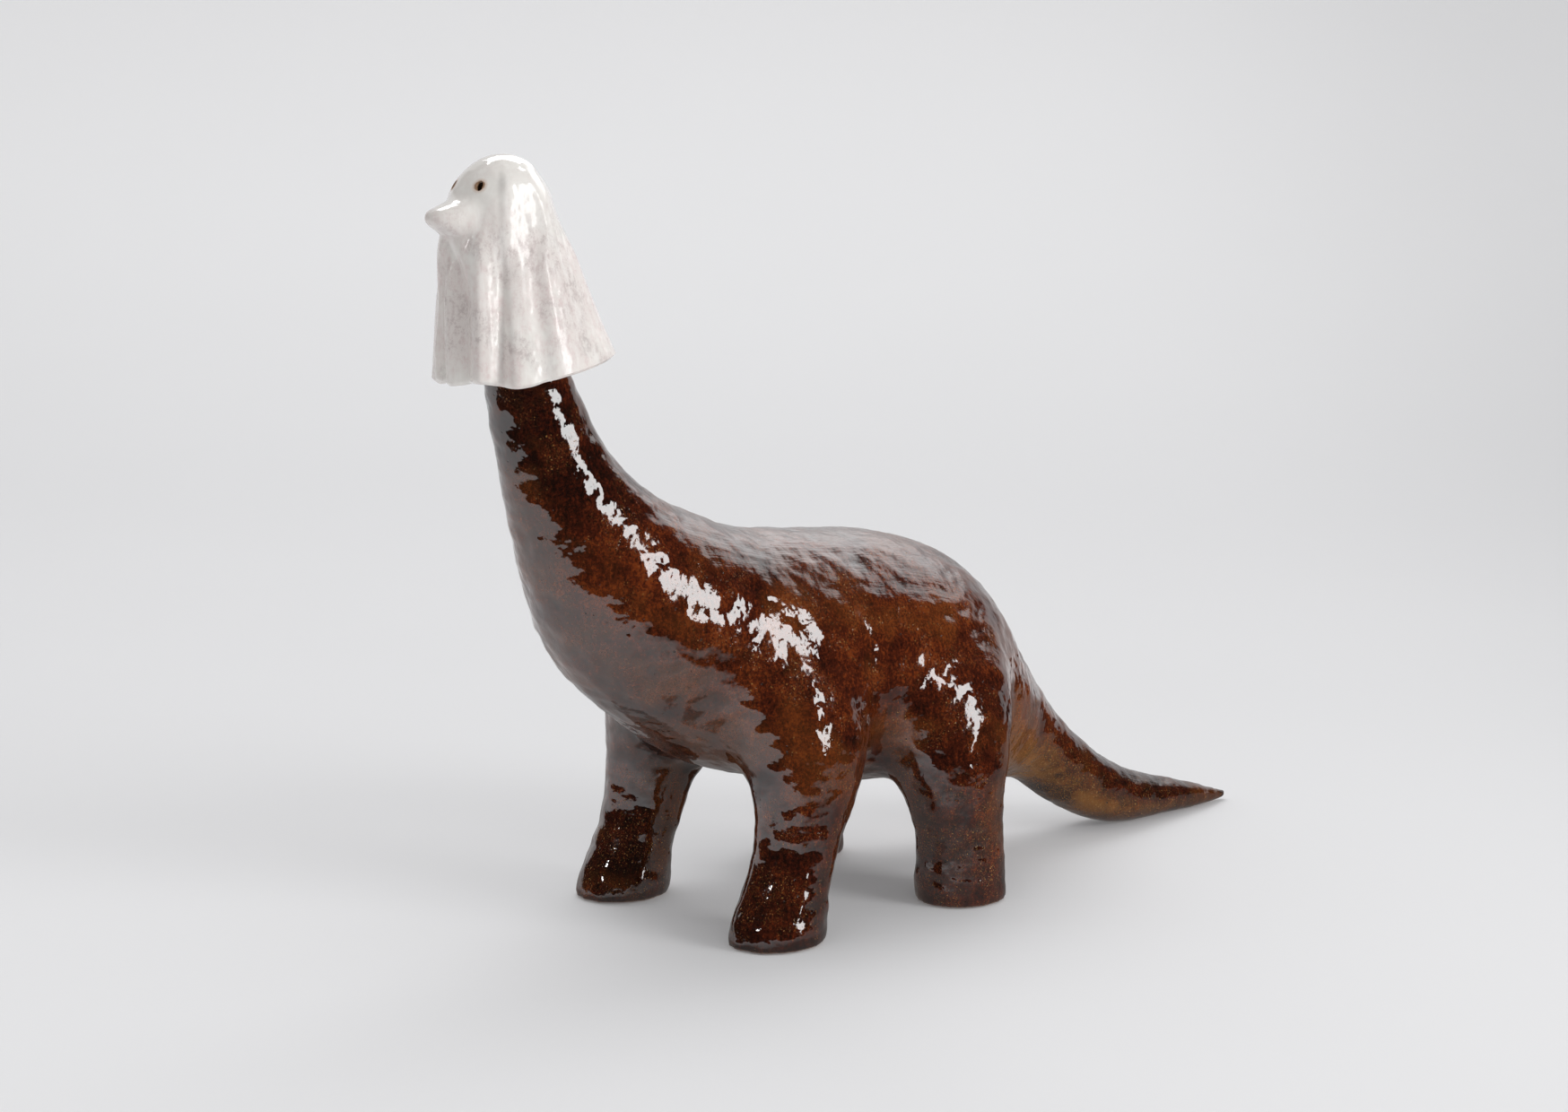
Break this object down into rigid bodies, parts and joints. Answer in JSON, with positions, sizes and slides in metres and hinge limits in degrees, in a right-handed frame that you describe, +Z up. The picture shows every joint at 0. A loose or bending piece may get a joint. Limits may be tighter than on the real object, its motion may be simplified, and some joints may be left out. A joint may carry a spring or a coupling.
{
  "type": "stoneware dinosaur sculpture",
  "caption": "Glazed stoneware ornament: a long-necked dinosaur on short legs, its tail tip on the ground, its head and upper neck under a loose white clay hood with eye holes.",
  "frame": {"origin": "on the floor, under the middle of the whole work's bounding box", "axes": "+Z up; the animal looks along -Y, its tail points along +Y and its left side is +X"},
  "size_m": [0.215, 0.69, 0.4807],
  "materials": {
    "brown_glaze": "glossy amber-brown iron glaze with fine dark streaks and golden specks over hand-pinched clay",
    "white_glaze": "glossy white glaze with faint pinkish and grey mottling"
  },
  "bodies": {
    "root": {"dinosaur_body": "brown_glaze", "draped_hood": "white_glaze"}
  },
  "joints": []
}
